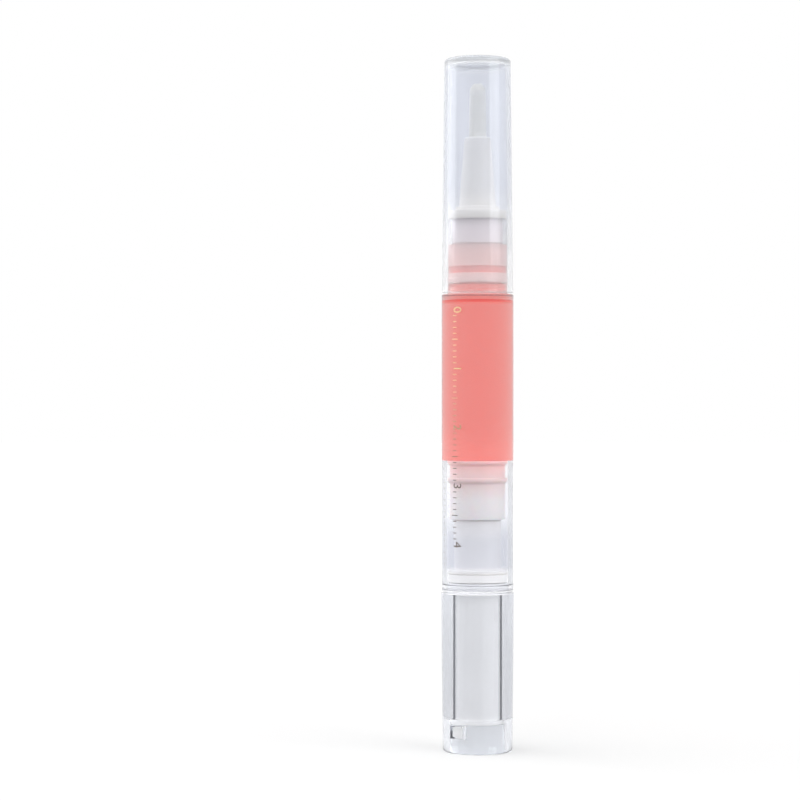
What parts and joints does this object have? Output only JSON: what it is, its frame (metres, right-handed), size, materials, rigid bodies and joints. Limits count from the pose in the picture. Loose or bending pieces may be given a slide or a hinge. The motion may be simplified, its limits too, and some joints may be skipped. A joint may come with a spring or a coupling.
{
  "type": "twist-up nail oil pen",
  "caption": "Slim clear twist-up pen that holds nail oil, with a brush tip under a clear pull-off cap, a thick clear twist knob, a click ratchet, a lead screw and a sealing piston.",
  "frame": {"origin": "centre of the knob's foot, on the surface that the pen stands on", "axes": "+Z along the pen towards the cap; the picture looks along +Y, with +X to the right"},
  "size_m": [0.0132, 0.0132, 0.125],
  "materials": {
    "cap_clear": "clear moulded plastic, glossy, faintly milky",
    "barrel_clear": "clear moulded plastic, glossy, faintly milky",
    "knob_clear": "thick clear moulded plastic, high gloss",
    "plug_clear": "clear moulded plastic, glossy",
    "nozzle_white": "white translucent moulded plastic, satin",
    "brush_collar_white": "thin white plastic sleeve, satin",
    "bristle_nylon": "off-white nylon filaments",
    "tube_natural": "natural plastic tube, smooth",
    "oil_coral": "clear coral oil",
    "piston_natural": "natural soft plastic, translucent",
    "screw_white": "white slippery plastic, satin",
    "nut_white": "white plastic, satin",
    "ratchet_white": "white plastic, satin",
    "click_ring_white": "white springy plastic, satin",
    "sleeve_natural": "natural translucent plastic, smooth",
    "print_foil": "thin bronze print on the barrel"
  },
  "bodies": {
    "barrel": {"barrel": "barrel_clear", "nozzle": "nozzle_white", "brush_collar": "brush_collar_white", "feed_tube": "tube_natural", "bristles": "bristle_nylon", "neck_oil": "oil_coral", "oil_column": "oil_coral", "screw_nut": "nut_white", "ratchet_ring": "ratchet_white"},
    "cap": {"cap": "cap_clear"},
    "knob": {"knob": "knob_clear", "drive_sleeve": "sleeve_natural", "click_ring": "click_ring_white", "end_plug": "plug_clear"},
    "screw": {"lead_screw": "screw_white"},
    "piston": {"piston": "piston_natural"}
  },
  "joints": [
    {"name": "cap_pull", "type": "slide", "parent": "barrel", "child": "cap", "axis": [0, 0, 1], "range_m": [0, 0.045]},
    {"name": "knob_twist", "type": "hinge", "parent": "barrel", "child": "knob", "pos_m": [0, 0, 0], "axis": [0, 0, 1], "range_deg": [0, 5040], "deforming": ["click_ring"]},
    {"name": "screw_feed", "type": "slide", "parent": "knob", "child": "screw", "axis": [0, 0, 1], "range_m": [0, 0.028]},
    {"name": "piston_slide", "type": "slide", "parent": "barrel", "child": "piston", "axis": [0, 0, 1], "range_m": [0, 0.028], "deforming": ["oil_column"]}
  ],
  "couplings": [
    {"joint": "screw_feed", "follows": "knob_twist", "m_per_rad": 0.00031831},
    {"joint": "piston_slide", "follows": "knob_twist", "m_per_rad": 0.00031831}
  ]
}
